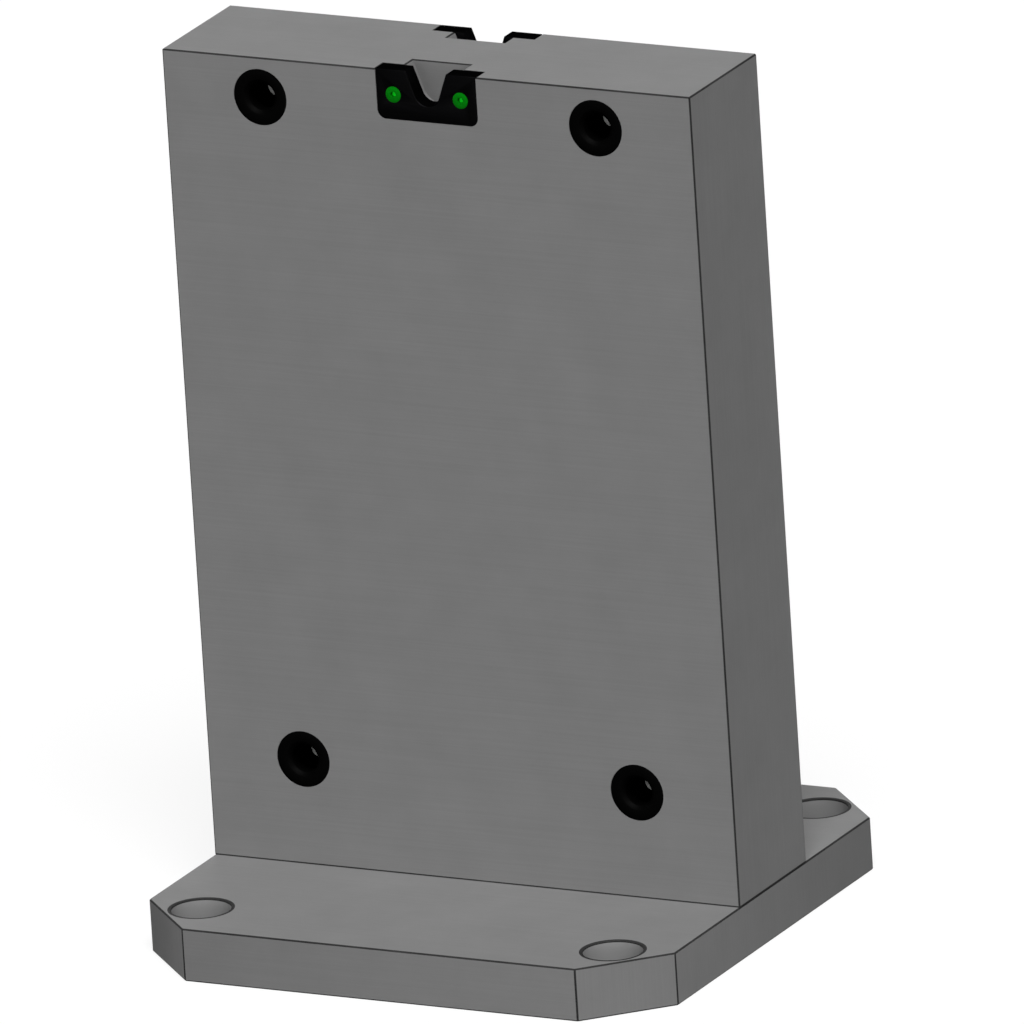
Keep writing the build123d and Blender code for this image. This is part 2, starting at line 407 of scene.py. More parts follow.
def scratches_and_tone(tree):
    """Two sockets: the scratches alone, and the scratches with the clouds from dark to light."""
    coordinates = add(tree, "ShaderNodeTexCoord").outputs
    facing = add(tree, "ShaderNodeVectorMath", {0: coordinates["Normal"]}, operation="ABSOLUTE")
    endways = add(tree, "ShaderNodeSeparateXYZ", {0: facing.outputs[0]}).outputs["X"]
    is_end = add(tree, "ShaderNodeMath", {0: endways, 1: 0.5}, operation="GREATER_THAN").outputs[0]
    marks = []
    for scale in (SCRATCHES_ACROSS, SCRATCHES_UPRIGHT):
        space = add(tree, "ShaderNodeMapping", {0: coordinates["Object"], "Scale": scale}).outputs[0]
        marks.append(add(tree, "ShaderNodeTexNoise", {"Vector": space, "Scale": 1.0, "Detail": 5.0,
                                                      "Roughness": 0.7}))
    scratches = add(tree, "ShaderNodeMix",
                    {0: is_end, 2: marks[0].outputs[0], 3: marks[1].outputs[0]}).outputs[0]
    cloud = add(tree, "ShaderNodeTexNoise", {"Vector": coordinates["Object"],
                                             "Scale": 1 / CLOUD_SIZE, "Detail": 4.0,
                                             "Roughness": 0.6}).outputs[0]
    both = add(tree, "ShaderNodeMix", {0: CLOUD_SHARE, 2: scratches, 3: cloud}).outputs[0]
    tone = add(tree, "ShaderNodeMapRange", {"Value": both, "From Min": 0.3, "From Max": 0.7})
    return scratches, tone.outputs[0]


print("scratches are drawn", round(SCRATCH_PITCH / MM, 1), "mm apart")

# %% [markdown]
# Ground cast iron has a dull, even sheen that hardly changes with the angle, so the metal is
# mixed mostly as a matt surface. Three looks share one shader: the ground grey, a lighter grey
# inside the holes that is painted light against their shade, and a dark colour on the edges.

# %% Ground cast iron
IRON_METALLIC, IRON_SPECULAR = 0.15, 0.03
IRON_ROUGHNESS = (0.52, 0.64)
IRON_DARK, IRON_LIGHT = "797979", "828282"
# Dark colours for the chamfers, the bands beside the edges, the column's foot and the rings round the
# holes.
MARKED_DARK, MARKED_LIGHT = "1E1E1E", "3E3E3E"
# The lighter grey inside the holes is painted light.
HOLE_PAINTED_LIGHT = "949494"
SCRATCH_DEPTH = 0.02 * MM


def ground_cast_iron(name, find_mark, find_painted_light=None):
    """Ground grey iron. find_mark takes the tree and gives a socket that is 1 on the dark marks.

    The last argument does the same for the insides of the holes, where a lighter grey is painted
    light.
    """
    material, tree, shader = new_material(name, IRON_METALLIC, IRON_SPECULAR)
    scratches, tone = scratches_and_tone(tree)
    iron = add(tree, "ShaderNodeMix", {0: tone, 6: linear(IRON_DARK), 7: linear(IRON_LIGHT)},
               data_type="RGBA").outputs[2]
    if find_painted_light:
        iron = add(tree, "ShaderNodeMix", {0: find_painted_light(tree), 6: iron, 7: linear(HOLE_PAINTED_LIGHT)},
                   data_type="RGBA").outputs[2]
    # The dark colour of the marked strips, bands and rings.
    dark_mark = add(tree, "ShaderNodeMix", {0: tone, 6: linear(MARKED_DARK), 7: linear(MARKED_LIGHT)},
              data_type="RGBA").outputs[2]
    strip = add(tree, "ShaderNodeAttribute", attribute_name="broken_edge").outputs["Fac"]
    dark = add(tree, "ShaderNodeMath", {0: strip, 1: find_mark(tree)}, operation="MAXIMUM").outputs[0]
    colour = add(tree, "ShaderNodeMix", {0: dark, 6: iron, 7: dark_mark}, data_type="RGBA").outputs[2]
    shine = add(tree, "ShaderNodeMapRange", {"Value": scratches, "To Min": IRON_ROUGHNESS[0],
                                             "To Max": IRON_ROUGHNESS[1]})
    bump = add(tree, "ShaderNodeBump", {"Height": scratches, "Strength": 0.05,
                                        "Distance": SCRATCH_DEPTH})
    tree.links.new(colour, shader.inputs["Base Color"])
    tree.links.new(shine.outputs[0], shader.inputs["Roughness"])
    tree.links.new(bump.outputs[0], shader.inputs["Normal"])
    return material


print("iron is mixed between", IRON_DARK, "and", IRON_LIGHT)

# %% [markdown]
# The dark colour also covers a fifth of a millimetre of the faces on both sides of a right-angled
# edge.
# The block and the base are prisms, so a point is beside an edge when it lies close under two
# of the outer planes at once. Absolute values fold opposite sides onto each other, so three
# planes do for the block, and a fourth adds the cut corners of the base. A cut corner's plane
# counts only together with the top or underside, because its upright edges are blunt and
# broken more widely already. Blender can also find edges by their pointiness, but only on a
# much denser mesh.

# %% Dark beside the edges
MARK_REACH = 1.0 * MM
CORNER_CUT = 50.8 * MM


def dark_beside_edges(tree, low, high, corner_cut=None):
    """1 on the faces of a prism where the dark colour reaches past its right-angled edges."""
    half = (high - low) / 2
    position = add(tree, "ShaderNodeTexCoord").outputs["Object"]
    centred = add(tree, "ShaderNodeVectorMath", {0: position, 1: (low + high) / 2},
                  operation="SUBTRACT").outputs[0]
    folded = add(tree, "ShaderNodeVectorMath", {0: centred}, operation="ABSOLUTE").outputs[0]

    def near_plane(normal, distance):
        along = add(tree, "ShaderNodeVectorMath", {0: folded, 1: normal}, operation="DOT_PRODUCT")
        return add(tree, "ShaderNodeMath", {0: along.outputs["Value"], 1: distance - MARK_REACH},
                   operation="GREATER_THAN").outputs[0]

    marks = [
        near_plane((1, 0, 0), half.x),
        near_plane((0, 1, 0), half.y),
        near_plane((0, 0, 1), half.z),
    ]
    if corner_cut:
        slant = math.sqrt(0.5)
        cut = near_plane((slant, slant, 0), slant * (half.x + half.y - corner_cut))
        marks.append(add(tree, "ShaderNodeMath", {0: cut, 1: marks[2]},
                         operation="MULTIPLY").outputs[0])
    count = 0.0
    for mark in marks:
        count = add(tree, "ShaderNodeMath", {0: mark, 1: count}, operation="ADD").outputs[0]
    more_than_one = add(tree, "ShaderNodeMath", {0: count, 1: 1.5}, operation="GREATER_THAN")
    return more_than_one.outputs[0]


print("oil reaches", MARK_REACH / MM, "mm in from the outer planes")

# %% [markdown]
# The column stands on the base without a gap. A dark line is coloured along the column's foot,
# on the ends too, where column and base are flush. The foot is an edge of the prism, so the
# function above darkens it with the others.

# %% Column


def dark_column_edges(tree):
    """1 beside the column's edges and along its foot."""
    return dark_beside_edges(tree, block_low, block_high)


mesh = merged_copy("column_block")
mark_broken_edges(mesh)
column_iron = ground_cast_iron("ground_cast_iron_column", dark_column_edges)
hand_over(to_piece(mesh, "ground_column"), column_iron, ["column_block"])

# %% [markdown]
# The base is bolted to the machine's pallet through four counterbored holes. They lie alike in
# the four quarters of the plate, so the absolute value of the position folds them onto one. Its
# distance from that one hole's axis then tells what lies near any of them.

# %% Distance from a hole of the base
PALLET_HOLE_X = 156.5 * MM
COUNTERBORE_RADIUS = 20.65 * MM


def hole_distance(tree):
    """The distance from the axis of the nearest of the four holes, and the height."""
    position = add(tree, "ShaderNodeTexCoord").outputs["Object"]
    quarter = add(tree, "ShaderNodeVectorMath", {0: position}, operation="ABSOLUTE").outputs[0]
    offset = add(tree, "ShaderNodeVectorMath",
                 {0: quarter, 1: (PALLET_HOLE_X, PALLET_HOLE_X, 0)}, operation="SUBTRACT")
    level = add(tree, "ShaderNodeVectorMath", {0: offset.outputs[0], 1: (1, 1, 0)},
                operation="MULTIPLY")
    radius = add(tree, "ShaderNodeVectorMath", {0: level.outputs[0]}, operation="LENGTH")
    height = add(tree, "ShaderNodeSeparateXYZ", {0: position})
    return radius.outputs["Value"], height.outputs["Z"]


print("the pallet holes are", round(2 * PALLET_HOLE_X / MM), "mm apart")

# %% [markdown]
# A dark ring is coloured round the mouth of each hole, on the top and on the first millimetre
# of the wall. Further in, the holes get a lighter grey, which is painted light that offsets the
# shade inside them. The tests below leave a skin of a tenth of a millimetre, so that no face
# lies exactly on their limit.

# %% Base
RIM_WIDTH = 2.4 * MM
RIM_DEPTH = 1.3 * MM
SKIN = 0.1 * MM


def dark_base_marks(tree):
    """1 beside the base's edges and round the mouth of each hole."""
    radius, height = hole_distance(tree)
    inside = add(tree, "ShaderNodeMath", {0: radius, 1: COUNTERBORE_RADIUS + RIM_WIDTH},
                 operation="LESS_THAN").outputs[0]
    near_top = add(tree, "ShaderNodeMath", {0: height, 1: base_high.z - RIM_DEPTH},
                   operation="GREATER_THAN").outputs[0]
    rims = add(tree, "ShaderNodeMath", {0: inside, 1: near_top}, operation="MULTIPLY").outputs[0]
    edges = dark_beside_edges(tree, base_low, base_high, CORNER_CUT)
    return add(tree, "ShaderNodeMath", {0: rims, 1: edges}, operation="MAXIMUM").outputs[0]


def painted_light_in_holes(tree):
    """1 inside the holes, where a lighter grey is painted light, and 0 on the underside round them.
    """
    radius, height = hole_distance(tree)
    inside = add(tree, "ShaderNodeMath", {0: radius, 1: COUNTERBORE_RADIUS + SKIN},
                 operation="LESS_THAN").outputs[0]
    above = add(tree, "ShaderNodeMath", {0: height, 1: SKIN}, operation="GREATER_THAN").outputs[0]
    return add(tree, "ShaderNodeMath", {0: inside, 1: above}, operation="MULTIPLY").outputs[0]


mesh = merged_copy("base_plate")
mark_broken_edges(mesh)
base_iron = ground_cast_iron("ground_cast_iron_base", dark_base_marks, painted_light_in_holes)
hand_over(to_piece(mesh, "ground_base"), base_iron, ["base_plate"])

# %% [markdown]
# The brackets are steel with a black oxide finish. The oxide is a skin a thousandth of a
# millimetre thick, so the grinding marks of the steel still show through as a faint sheen. It
# is a metal with a nearly black colour. Real grinding marks are much closer together than the
# ones here, which are drawn about a millimetre apart so that they show.

# %% Black oxide of the brackets
BRACKET_MARK_LENGTH = 33 * MM
BRACKET_MARKS = (1 / BRACKET_MARK_LENGTH, 1 / (1.1 * MM), 1 / (0.8 * MM))
BRACKET_MARK_DEPTH = 0.02 * MM
OXIDE_DARK, OXIDE_LIGHT, OXIDE_TINT = "0B0B0C", "141415", "303032"
OXIDE_ROUGHNESS = (0.46, 0.6)


def black_oxide_bracket():
    """Black oxide over ground steel, with the grinding marks running across."""
    material, tree, shader = new_material("ground_black_oxide_steel", 1.0)
    shader.inputs["Specular Tint"].default_value = linear(OXIDE_TINT)
    position = add(tree, "ShaderNodeTexCoord").outputs["Object"]
    space = add(tree, "ShaderNodeMapping", {0: position, "Scale": BRACKET_MARKS}).outputs[0]
    marks = add(tree, "ShaderNodeTexNoise", {"Vector": space, "Scale": 1.0, "Detail": 3.0}).outputs[0]
    colour = add(tree, "ShaderNodeMix", {0: marks, 6: linear(OXIDE_DARK), 7: linear(OXIDE_LIGHT)},
                 data_type="RGBA").outputs[2]
    shine = add(tree, "ShaderNodeMapRange", {"Value": marks, "To Min": OXIDE_ROUGHNESS[0],
                                             "To Max": OXIDE_ROUGHNESS[1]})
    bump = add(tree, "ShaderNodeBump", {"Height": marks, "Strength": 0.1,
                                        "Distance": BRACKET_MARK_DEPTH})
    tree.links.new(colour, shader.inputs["Base Color"])
    tree.links.new(shine.outputs[0], shader.inputs["Roughness"])
    tree.links.new(bump.outputs[0], shader.inputs["Normal"])
    return material


bracket_steel = black_oxide_bracket()
print("the brackets are", bracket_steel.name)

# %% [markdown]
# The finishing rounds every edge of a bracket slightly, which a Bevel modifier makes. The flat
# faces are first cleared of the CAD triangles, so that the bevel follows real edges only. A
# material can round the light on an edge as well, but the outline would stay sharp. The
# modifier's result is read back into a plain mesh, and slivers that it leaves are merged.

# %% V brackets
BRACKET_ROUNDING = 0.18 * MM
SLIVER_SIZE = 0.005 * MM

for side in OUTWARD:
    mesh = merged_copy(f"{side}_v_bracket")
    bmesh.ops.dissolve_limit(mesh, angle_limit=FLAT_ANGLE, verts=mesh.verts, edges=mesh.edges)
    rough = to_piece(mesh, f"{side}_bracket_rough")
    bevel = rough.modifiers.new("rounded_edges", "BEVEL")
    bevel.width = BRACKET_ROUNDING
    bevel.segments = 2
    bevel.limit_method = "ANGLE"
    bevel.angle_limit = SHARP_ANGLE
    bpy.context.view_layer.update()
    rounded = bmesh.new()
    rounded.from_object(rough, bpy.context.evaluated_depsgraph_get())
    bmesh.ops.remove_doubles(rounded, verts=rounded.verts, dist=SLIVER_SIZE)
    bpy.data.objects.remove(rough)
    piece = to_piece(rounded, f"{side}_black_bracket")
    hand_over(piece, bracket_steel, [f"{side}_v_bracket"])

# %% [markdown]
# Screws, cups and dowels are turned or rolled, so their marks run round their own axis. Each
# carries its own coordinates in the attribute own_place, with the axis along Z. From them the
# material works out the distance to the axis and the height, and draws its noise on those two
# alone, which gives rings on a flat end and on a round side alike. Real turning marks are about
# a tenth of a millimetre apart. They are drawn three times as coarse so that they show.

# %% Rings round an axis
RING_PITCH = 0.3 * MM


def rings_round_axis(tree):
    """Two sockets: the noise of the turning marks, and the distance from the axis."""
    own_place = add(tree, "ShaderNodeAttribute", attribute_name="own_place").outputs["Vector"]
    level = add(tree, "ShaderNodeVectorMath", {0: own_place, 1: (1, 1, 0)}, operation="MULTIPLY")
    radius = add(tree, "ShaderNodeVectorMath", {0: level.outputs[0]}, operation="LENGTH")
    height = add(tree, "ShaderNodeSeparateXYZ", {0: own_place}).outputs["Z"]
    ring_space = add(tree, "ShaderNodeCombineXYZ", {0: radius.outputs["Value"], 1: height})
    rings = add(tree, "ShaderNodeTexNoise", {"Vector": ring_space.outputs[0], "Scale": 1 / RING_PITCH,
                                             "Detail": 1.0}, noise_dimensions="2D").outputs[0]
    return rings, radius.outputs["Value"]


print("turning marks are drawn", round(RING_PITCH / MM, 1), "mm apart")

# %% [markdown]
# All turned pieces share one kind of finish, with other numbers. The rings and a fine grain mix
# two close colours and two roughnesses, so no surface is a flat colour. A tint can colour the
# reflections, and the bottom of a hexagon socket can get a brighter colour, which is a painted
# highlight.

# %% Finish of a turned piece
RING_DEPTH = 0.02 * MM
GRAIN_SIZE = 1.1 * MM
GRAIN_SHARE = 0.4


def turned_finish(name, dark, light, metallic, roughness, tint=None, painted_highlight=None, highlight_radius=0.0):
    """A turned or rolled finish between two colours and two roughnesses.

    The tint is the colour of its reflections at low angles. The brighter colour near the
    axis, at the bottom of a socket, is a painted highlight.
    """
    material, tree, shader = new_material(name, metallic)
    if tint:
        shader.inputs["Specular Tint"].default_value = linear(tint)
    rings, radius = rings_round_axis(tree)
    position = add(tree, "ShaderNodeTexCoord").outputs["Object"]
    grain = add(tree, "ShaderNodeTexNoise", {"Vector": position, "Scale": 1 / GRAIN_SIZE,
                                             "Detail": 3.0})
    both = add(tree, "ShaderNodeMix", {0: GRAIN_SHARE, 2: rings, 3: grain.outputs[0]}).outputs[0]
    colour = add(tree, "ShaderNodeMix", {0: both, 6: linear(dark), 7: linear(light)},
                 data_type="RGBA").outputs[2]
    # The brighter colour near the axis is a painted highlight at the bottom of a socket.
    if painted_highlight:
        near_axis = add(tree, "ShaderNodeMapRange", {
            "Value": radius,
            "From Min": 0.8 * highlight_radius,
            "From Max": 1.1 * highlight_radius,
            "To Min": 1.0,
            "To Max": 0.0,
        }).outputs[0]
        colour = add(tree, "ShaderNodeMix", {0: near_axis, 6: colour, 7: linear(painted_highlight)},
                     data_type="RGBA").outputs[2]
    shine = add(tree, "ShaderNodeMapRange", {"Value": both, "To Min": roughness[0],
                                             "To Max": roughness[1]})
    bump = add(tree, "ShaderNodeBump", {"Height": rings, "Strength": 0.12, "Distance": RING_DEPTH})
    tree.links.new(colour, shader.inputs["Base Color"])
    tree.links.new(shine.outputs[0], shader.inputs["Roughness"])
    tree.links.new(bump.outputs[0], shader.inputs["Normal"])
    return material


print("the grain of a turned finish is", round(GRAIN_SIZE / MM, 1), "mm wide")

# %% [markdown]
# Screws, cups and dowels all repeat, so each kind has one master: a profile of radius and
# height that is spun round the Z axis. Points of the profile run down the outside. A Screw
# modifier could spin it as well, but a short loop can draw the knurl on the way.

# %% Turning a profile
TURNED_STEPS = 72


def turned(name, profile, knurl_from=0.0, knurl_to=0.0, knurl_depth=0.0):
    """A closed mesh object from a profile of (radius, height), spun round Z.

    Between two heights, every other step of the outside is drawn in by the knurl depth.
    """
    mesh = bmesh.new()
    rings = []
    for radius, height in profile:
        ring = []
        for step in range(TURNED_STEPS):
            angle = 2 * math.pi * step / TURNED_STEPS
            knurled = knurl_from < height < knurl_to and step % 2
            reach = radius - knurl_depth if knurled else radius
            ring.append(mesh.verts.new((reach * math.cos(angle), reach * math.sin(angle), height)))
        rings.append(ring)
    for upper, lower in zip(rings, rings[1:] + rings[:1]):
        for step in range(TURNED_STEPS):
            after = (step + 1) % TURNED_STEPS
            mesh.faces.new((upper[step], lower[step], lower[after], upper[after]))
    bmesh.ops.remove_doubles(mesh, verts=mesh.verts, dist=MERGE_DISTANCE)
    axis_edges = [edge for edge in mesh.edges if not edge.link_faces]
    bmesh.ops.delete(mesh, geom=axis_edges, context="EDGES")
    bmesh.ops.recalc_face_normals(mesh, faces=mesh.faces)
    return to_piece(mesh, name)


print("masters are turned in", TURNED_STEPS, "steps")

# %% [markdown]
# Every screw ends in a thread, which is drawn as rings one pitch apart. A true thread climbs,
# but it is hidden in its hole, and rings need far fewer faces.

# %% Outline of a thread


def thread_outline(thread, pitch, start, end):
    """The outline of a thread from one height down to another, with its tip."""
    radius = thread / 2
    root = radius - 0.6 * pitch
    outline = []
    for number in range(int((start - end) / pitch)):
        height = start - number * pitch
        outline += [(radius, height), (root, height - 0.45 * pitch), (radius, height - 0.9 * pitch)]
    return outline + [(root, end + 0.1 * pitch), (root - 0.3 * pitch, end), (0, end)]


print("a thread of 20 mm and pitch 1.25 has", len(thread_outline(8, 1.25, 0, -20)), "points")

# %% [markdown]
# A cap screw has a tall round head with a knurled side, as high as its thread is thick. The
# proportions below are shares of the thread or the head, so one function serves both sizes.

# %% Cap screw
KNURL_SHARE = 0.02


def cap_screw(name, thread, head, pitch, length):
    """The master of a cap screw, with the underside of its head at height 0."""
    head_radius = head / 2
    rounding = 0.03 * head
    outline = [
        (0, thread),
        (head_radius - rounding, thread),
        (head_radius - 0.3 * rounding, thread - 0.3 * rounding),
        (head_radius, thread - rounding),
        (head_radius, thread - 1.5 * rounding),
        (head_radius, rounding),
        (head_radius - rounding, 0),
        (thread / 2 + 0.05 * thread, 0),
        (thread / 2, -0.05 * thread),
        (thread / 2, -0.3 * thread),
    ]
    outline += thread_outline(thread, pitch, -0.35 * thread, -length)
    return turned(name, outline, 1.5 * rounding, thread - 1.2 * rounding, KNURL_SHARE * head)


print("the knurl of a head of 13 mm is", round(KNURL_SHARE * 13, 2), "mm deep")

# %% [markdown]
# A countersunk screw has a cone that sits flush in its piece. The cone widens by as much as it
# is high, which gives the usual angle of 90 degrees, and ends in a thin upright rim.

# %% Countersunk screw


def countersunk_screw(name, thread, head, rim, pitch, length):
    """The master of a countersunk screw, with the top of its head at height 0."""
    head_radius = head / 2
    rounding = 0.15 * MM
    neck = thread / 2 - head_radius - rim
    outline = [
        (0, 0),
        (head_radius - rounding, 0),
        (head_radius - 0.3 * rounding, -0.3 * rounding),
        (head_radius, -rounding),
        (head_radius, -rim),
        (thread / 2, neck),
    ]
    outline += thread_outline(thread, pitch, neck - 0.2 * thread, -length)
    return turned(name, outline)


print("a head of 11.4 mm with a rim of 0.3 mm, on a thread of 6 mm, is",
      round((11.4 - 6) / 2 + 0.3, 1), "mm high")

# %% [markdown]
# One Geometry Nodes tree makes every repeated piece from its master. Its inputs are the seats, a
# mesh of loose points that each carry an outward direction, the master and its material, and
# the sizes of the hexagon socket, for the screws that have one. Copying objects in a loop would
# work too, but one tree also cuts the sockets and keeps all copies in one piece.

# %% Inputs of the tree
placing = bpy.data.node_groups.new("place_turned_pieces", "GeometryNodeTree")
placing.interface.new_socket("Geometry", in_out="OUTPUT", socket_type="NodeSocketGeometry")
for socket_name, kind in (
    ("Seats", "NodeSocketGeometry"),
    ("Master", "NodeSocketObject"),
    ("Material", "NodeSocketMaterial"),
    ("Has socket", "NodeSocketBool"),
    ("Socket width", "NodeSocketFloat"),
    ("Socket depth", "NodeSocketFloat"),
    ("Head height", "NodeSocketFloat"),
):
    placing.interface.new_socket(socket_name, in_out="INPUT", socket_type=kind)
given = add(placing, "NodeGroupInput").outputs
print("the tree takes", ", ".join(socket.name for socket in given if socket.name))

# %% [markdown]
# The socket is cut with a six-sided key of twice its depth, which is lifted so that its middle
# lies at the top of the head. The cut leaves slivers along its edges, which Merge by Distance
# removes. A switch passes the uncut master on for pieces without a socket.

# %% Socket of a screw
master = add(placing, "GeometryNodeObjectInfo", {"Object": given["Master"]}).outputs["Geometry"]
across_corners = add(placing, "ShaderNodeMath", {0: given["Socket width"], 1: math.sqrt(3)},
                     operation="DIVIDE").outputs[0]
doubled = add(placing, "ShaderNodeMath", {0: given["Socket depth"], 1: 2.0}, operation="MULTIPLY")
key = add(placing, "GeometryNodeMeshCylinder", {
    "Vertices": 6,
    "Radius": across_corners,
    "Depth": doubled.outputs[0],
}).outputs["Mesh"]
lift = add(placing, "ShaderNodeCombineXYZ", {"Z": given["Head height"]}).outputs[0]
key = add(placing, "GeometryNodeTransform", {"Geometry": key, "Translation": lift}).outputs[0]
cut = add(placing, "GeometryNodeMeshBoolean", {"Mesh 1": master, "Mesh 2": key},
          operation="DIFFERENCE", solver="EXACT")
clean = add(placing, "GeometryNodeMergeByDistance", {
    "Geometry": cut.outputs["Mesh"],
    "Distance": SLIVER_SIZE,
}).outputs[0]
piece = add(placing, "GeometryNodeSwitch", {
    "Switch": given["Has socket"],
    "False": master,
    "True": clean,
}, input_type="GEOMETRY").outputs[0]
print("slivers under", SLIVER_SIZE / MM, "mm are merged")

# %% [markdown]
# Before the master is copied, the tree stores its own coordinates for the turned finishes. Then
# it sets a copy on every seat and turns it to face outwards. Copies are made real at the end,
# because the export leaves instances out.

# %% Copies on their seats
own_place = add(placing, "GeometryNodeInputPosition").outputs[0]
piece = add(placing, "GeometryNodeStoreNamedAttribute", {
    "Geometry": piece,
    "Name": "own_place",
    "Value": own_place,
}, data_type="FLOAT_VECTOR", domain="POINT").outputs[0]
outward = add(placing, "GeometryNodeInputNamedAttribute", {"Name": "outward"},
              data_type="FLOAT_VECTOR").outputs["Attribute"]
facing = add(placing, "FunctionNodeAlignRotationToVector", {"Vector": outward}, axis="Z")
copies = add(placing, "GeometryNodeInstanceOnPoints", {
    "Points": given["Seats"],
    "Instance": piece,
    "Rotation": facing.outputs[0],
}).outputs[0]
real = add(placing, "GeometryNodeRealizeInstances", {"Geometry": copies}).outputs[0]
dressed = add(placing, "GeometryNodeSetMaterial", {"Geometry": real, "Material": given["Material"]})
add(placing, "NodeGroupOutput", {"Geometry": dressed.outputs[0]})
print("the placing tree has", len(placing.nodes), "nodes")

# %% [markdown]
# The seats of a piece are the points of a mesh without edges or faces, and the direction that
# each copy faces is an attribute of the point. An object has to carry that mesh, because only
# an object can have a modifier.

# %% Carrier of the seats


def carrier_of(name, seats):
    """An object with a point for each seat. A seat is a point and an outward direction."""
    data = bpy.data.meshes.new(name)
    data.from_pydata([point for point, _ in seats], [], [])
    outward = data.attributes.new("outward", "FLOAT_VECTOR", "POINT")
    for number, (_, direction) in enumerate(seats):
        outward.data[number].vector = direction
    carrier = bpy.data.objects.new(name, data)
    bpy.context.scene.collection.objects.link(carrier)
    return carrier


def seat_in_side(side, x, z, y_inwards):
    """The seat of a piece in a broad side, at a depth under the side's face."""
    outward = OUTWARD[side]
    return Vector((x, outward.y * (block_high.y - y_inwards), z)), outward


print("one cup's seat:", *seat_in_side("front", cup_column_x, row_heights["upper"], FACE_RECESS))

# %% [markdown]
# A modifier runs the tree on the carrier. It keeps its inputs under the identifiers of the
# tree's sockets and not under their names, so they are set by identifier, before the object is
# first evaluated. The evaluated result is copied into a plain mesh, which becomes the piece, and
# modifier, carrier and master are deleted.

# %% Run the tree


def place_copies(name, master, seats, material, replaced, socket=None):
    """One piece with a copy of the master on each seat.

    The socket is (width, depth, head height) for a screw, or None.
    """
    carrier = carrier_of(name + "_seats", seats)
    modifier = carrier.modifiers.new("copies", "NODES")
    modifier.node_group = placing
    width, depth, head_height = socket or (MM, MM, MM)
    values = {
        "Master": master,
        "Material": material,
        "Has socket": socket is not None,
        "Socket width": width,
        "Socket depth": depth,
        "Head height": head_height,
    }
    for item in placing.interface.items_tree:
        if item.in_out == "INPUT" and item.name in values:
            modifier[item.identifier] = values[item.name]
    bpy.context.view_layer.update()
    evaluated = carrier.evaluated_get(bpy.context.evaluated_depsgraph_get())
    finished = bpy.data.meshes.new_from_object(evaluated)
    finished.name = name
    carrier.modifiers.remove(modifier)
    bpy.data.objects.remove(carrier)
    bpy.data.objects.remove(master)
    piece = bpy.data.objects.new(name, finished)
    bpy.context.scene.collection.objects.link(piece)
    print(name, "is made of", len(seats), "copies")
    hand_over(piece, material, replaced)


print("copies are placed by the tree", placing.name)

# %% [markdown]
# The green screws hold the brackets. They are countersunk, so their heads lie flush with the
# bracket. Their coating is a green lacquer over bright metal, so it reflects in green only.
# The flat bottom of the socket gets a brighter green, which is a painted highlight.

# %% Bracket screws
M6, M6_HEAD, M6_RIM, M6_PITCH = 6 * MM, 11.4 * MM, 0.3 * MM, 1.0 * MM
M6_SOCKET = (4 * MM, 2 * MM, 0.0)
# The bright green 18FF2E is a painted highlight at the bottom of each socket.
green_coat = turned_finish("green_coated_screw_steel", "057A0E", "078612", 0.5, (0.45, 0.6),
                           tint="10A020", painted_highlight="18FF2E", highlight_radius=1.7 * MM)
names = [f"{side}_{end}_bracket_screw" for side in OUTWARD for end in LEFT_AND_RIGHT]
seats = []
for side in OUTWARD:
    for end in LEFT_AND_RIGHT:
        low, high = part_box(f"{side}_{end}_bracket_screw")
        seats.append(seat_in_side(side, (low.x + high.x) / 2, (low.z + high.z) / 2, FACE_RECESS))
master = countersunk_screw("bracket_screw", M6, M6_HEAD, M6_RIM, M6_PITCH, high.y - low.y)
place_copies("green_bracket_screws", master, seats, green_coat, names, M6_SOCKET)

# %% [markdown]
# The zinc plated screws hold the cups in their seats, from the floor of each cup. Zinc is a pale
# metal that soon turns dull, so it is mixed as a light grey with only some metal in it. Only a
# bright sliver of each head shows past the mouth of the cup.

# %% Cup screws
M8, M8_HEAD, M8_PITCH = 8 * MM, 13 * MM, 1.25 * MM
M8_SOCKET = (6 * MM, 4 * MM, M8)
zinc = turned_finish("zinc_plated_screw_steel", "B9BBB8", "DADBD8", 0.35, (0.35, 0.5))
names = []
seats = []
for side in OUTWARD:
    for row, row_z in row_heights.items():
        names.append(f"{side}_{row}_receiver_screws")
        low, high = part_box(names[-1])
        head_top = abs(low.y if side == "front" else high.y)
        for x in (-cup_column_x, cup_column_x):
            seats.append(seat_in_side(side, x, row_z, block_high.y - head_top + M8))
master = cap_screw("cup_screw", M8, M8_HEAD, M8_PITCH, high.y - low.y - M8)
place_copies("zinc_cup_screws", master, seats, zinc, names, M8_SOCKET)

# %% [markdown]
# Six larger screws come up through the base into the column. They show only from below, so
# their seats face down. They are black from hardening and oiling, and smoother than the cups,
# so they keep a soft gloss.

# %% Column screws
M16, M16_HEAD, M16_PITCH = 16 * MM, 24 * MM, 2.0 * MM
M16_SOCKET = (14 * MM, 8 * MM, M16)
black_screw = turned_finish("black_screw_steel", "161617", "242425", 1.0, (0.3, 0.45))
DOWN = Vector((0, 0, -1))
seats = []
for side in OUTWARD:
    low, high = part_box(f"{side}_column_screws")
    first, last = low.x + M16_HEAD / 2, high.x - M16_HEAD / 2
    for x in (first, (first + last) / 2, last):
        seats.append((Vector((x, (low.y + high.y) / 2, low.z + M16)), DOWN))
master = cap_screw("column_screw", M16, M16_HEAD, M16_PITCH, high.z - low.z - M16)
place_copies("black_column_screws", master, seats, black_screw,
             [f"{side}_column_screws" for side in OUTWARD], M16_SOCKET)

# %% [markdown]
# Two ground dowels keep column and base in line while the screws are tightened. A dowel is a
# plain pin with a small bevel at both ends, which leads it into its hole. Its side is ground to
# size and left bare, so it is the brightest and smoothest steel on the part.

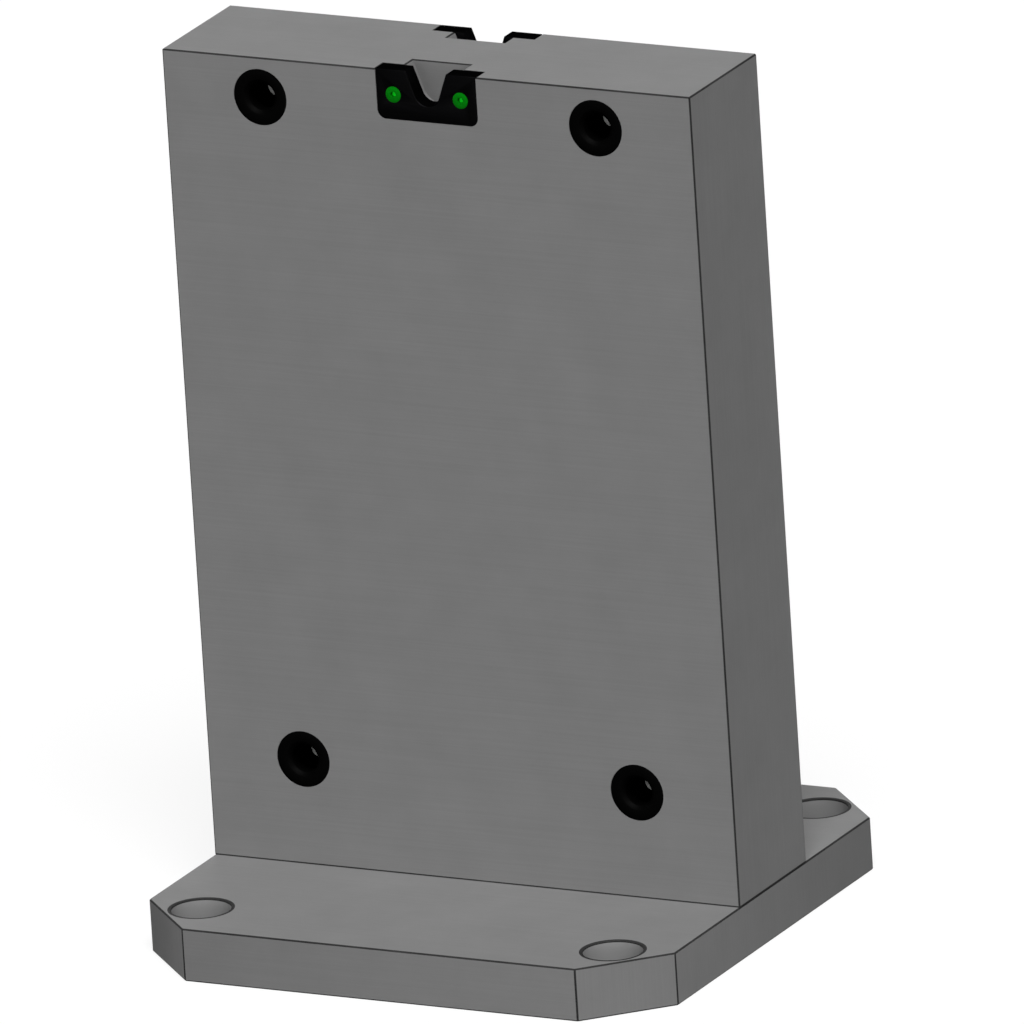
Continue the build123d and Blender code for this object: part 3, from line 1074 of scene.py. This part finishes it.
# %% Dowels
DOWEL_BEVEL = 1.5 * MM
ground_steel = turned_finish("ground_dowel_steel", "B4B4B2", "C8C8C5", 1.0, (0.18, 0.3))
seats = []
for end in LEFT_AND_RIGHT:
    low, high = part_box(f"{end}_dowel")
    seats.append((Vector(((low.x + high.x) / 2, (low.y + high.y) / 2, low.z)), DOWN))
radius, length = (high.x - low.x) / 2, high.z - low.z
outline = [
    (0, 0),
    (radius - 0.4 * DOWEL_BEVEL, 0),
    (radius, -DOWEL_BEVEL),
    (radius, DOWEL_BEVEL - length),
    (radius - 0.4 * DOWEL_BEVEL, -length),
    (0, -length),
]
place_copies("ground_dowels", turned("dowel", outline), seats, ground_steel,
             [f"{end}_dowel" for end in LEFT_AND_RIGHT])

# %% [markdown]
# The cups are hardened steel, turned and blackened. The mouth has a lead-in that guides the
# shank, and behind a narrow land the bore opens into the cone that the shank's balls press on.
# Every corner is slightly rounded, so that the black steel shows a thin line of light there.
# The outline starts at the mouth and runs over the outside and the floor back to the land.

# %% Outline of a receiver cup
CUP_LENGTH = 38 * MM
CUP_FLOOR = 32.5 * MM
LEAD_IN = 2.5 * MM
LAND_RADIUS = 10 * MM
LAND_END = 11 * MM
BALL_ROOM = 2.4 * MM
SCREW_WAY_RADIUS = 4.5 * MM
ROUND = 0.25 * MM
cup_radius = CUP_DIAMETER / 2
room_radius = LAND_RADIUS + BALL_ROOM
outline = [
    (LAND_RADIUS + LEAD_IN, -0.3 * ROUND),
    (LAND_RADIUS + LEAD_IN + ROUND, 0),
    (cup_radius - 1.6 * ROUND, 0),
    (cup_radius - 0.5 * ROUND, -0.5 * ROUND),
    (cup_radius, -1.6 * ROUND),
    (cup_radius, ROUND - CUP_LENGTH),
    (cup_radius - ROUND, -CUP_LENGTH),
    (SCREW_WAY_RADIUS, -CUP_LENGTH),
    (SCREW_WAY_RADIUS, -CUP_FLOOR),
    (room_radius - ROUND, -CUP_FLOOR),
    (room_radius, ROUND - CUP_FLOOR),
    (room_radius, -LAND_END - BALL_ROOM - ROUND),
    (room_radius - ROUND, -LAND_END - BALL_ROOM),
    (LAND_RADIUS + 0.5 * ROUND, -LAND_END - 0.5 * ROUND),
    (LAND_RADIUS, -LAND_END + 0.7 * ROUND),
    (LAND_RADIUS, -LEAD_IN - 0.7 * ROUND),
    (LAND_RADIUS + 0.5 * ROUND, -LEAD_IN + 0.5 * ROUND),
]
print("a cup's outline has", len(outline), "points")

# %% [markdown]
# The black oxide of the cups is the dullest finish on the part, and it lies in deep shade. It
# is a metal of nearly black colour, rough enough that the lamps leave only a soft ring.

# %% Receiver cups
cup_steel = turned_finish("turned_black_oxide_steel", "070707", "0E0E0E", 1.0, (0.55, 0.7),
                          tint="1C1C1D")
names = [f"{side}_{row}_receivers" for side in OUTWARD for row in row_heights]
seats = [
    seat_in_side(side, x, row_z, FACE_RECESS)
    for side in OUTWARD
    for row_z in row_heights.values()
    for x in (-cup_column_x, cup_column_x)
]
place_copies("receiver_cups", turned("cup", outline), seats, cup_steel, names)
